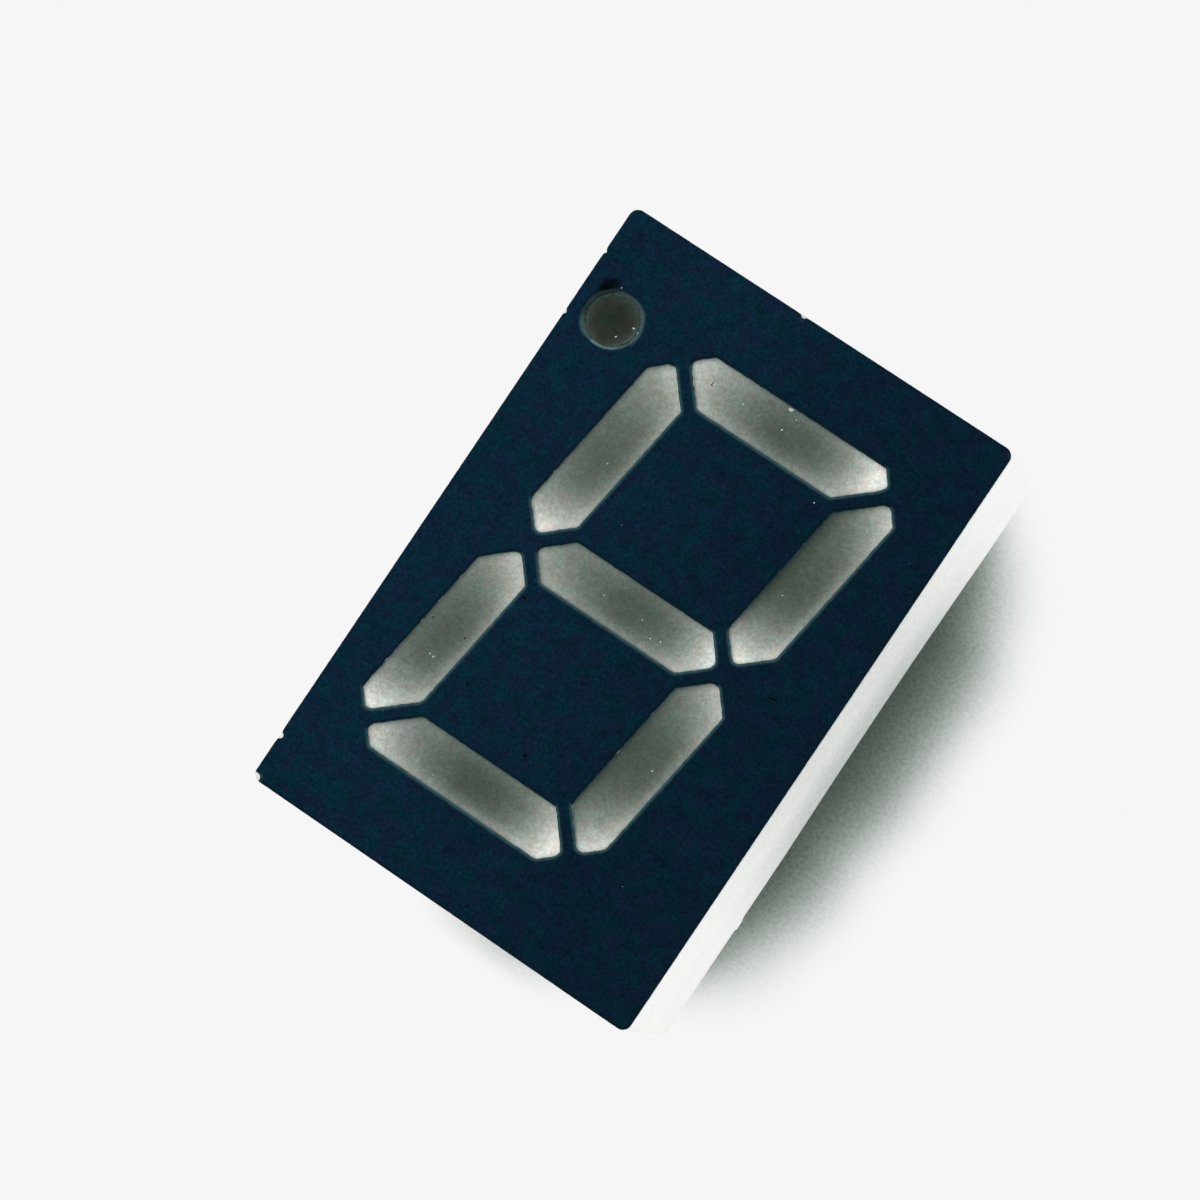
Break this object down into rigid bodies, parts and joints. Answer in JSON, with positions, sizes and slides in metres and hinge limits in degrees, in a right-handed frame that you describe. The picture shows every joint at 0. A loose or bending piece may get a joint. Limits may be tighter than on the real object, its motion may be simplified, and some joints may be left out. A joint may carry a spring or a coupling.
{
  "type": "seven segment display",
  "caption": "Small indicator for one slanted figure and a decimal point: white moulded body, dark printed face, milky resin windows, pins in rows behind.",
  "frame": {"origin": "centre of the body's rear rim, which sits on the board that the display is fitted to", "axes": "+Z out of the printed face, +Y to the top of the figure, +X to the side of the decimal point"},
  "size_m": [0.0126, 0.019, 0.014],
  "materials": {
    "body_plastic": "satin",
    "ink": "matte",
    "segment_resin": "satin",
    "point_resin": "satin",
    "board": "matte",
    "copper": "satin",
    "chip": "gloss",
    "bond_wire": "gloss",
    "pin_metal": "satin",
    "solder": "satin",
    "potting": "satin"
  },
  "bodies": {
    "root": {"housing": "body_plastic", "face_ink": "ink", "circuit_board": "board", "copper_tracks": "copper", "back_potting": "potting", "decimal_point": "point_resin", "segment_a": "segment_resin", "segment_b": "segment_resin", "segment_c": "segment_resin", "segment_d": "segment_resin", "segment_e": "segment_resin", "segment_f": "segment_resin", "segment_g": "segment_resin", "chip_a": "chip", "chip_b": "chip", "chip_c": "chip", "chip_d": "chip", "chip_e": "chip", "chip_f": "chip", "chip_g": "chip", "chip_point": "chip", "wire_a": "bond_wire", "wire_b": "bond_wire", "wire_c": "bond_wire", "wire_d": "bond_wire", "wire_e": "bond_wire", "wire_f": "bond_wire", "wire_g": "bond_wire", "wire_point": "bond_wire", "pin_1": "pin_metal", "pin_2": "pin_metal", "pin_3": "pin_metal", "pin_4": "pin_metal", "pin_5": "pin_metal", "pin_6": "pin_metal", "pin_7": "pin_metal", "pin_8": "pin_metal", "pin_9": "pin_metal", "pin_10": "pin_metal", "solder_1": "solder", "solder_2": "solder", "solder_3": "solder", "solder_4": "solder", "solder_5": "solder", "solder_6": "solder", "solder_7": "solder", "solder_8": "solder", "solder_9": "solder", "solder_10": "solder"}
  },
  "joints": []
}
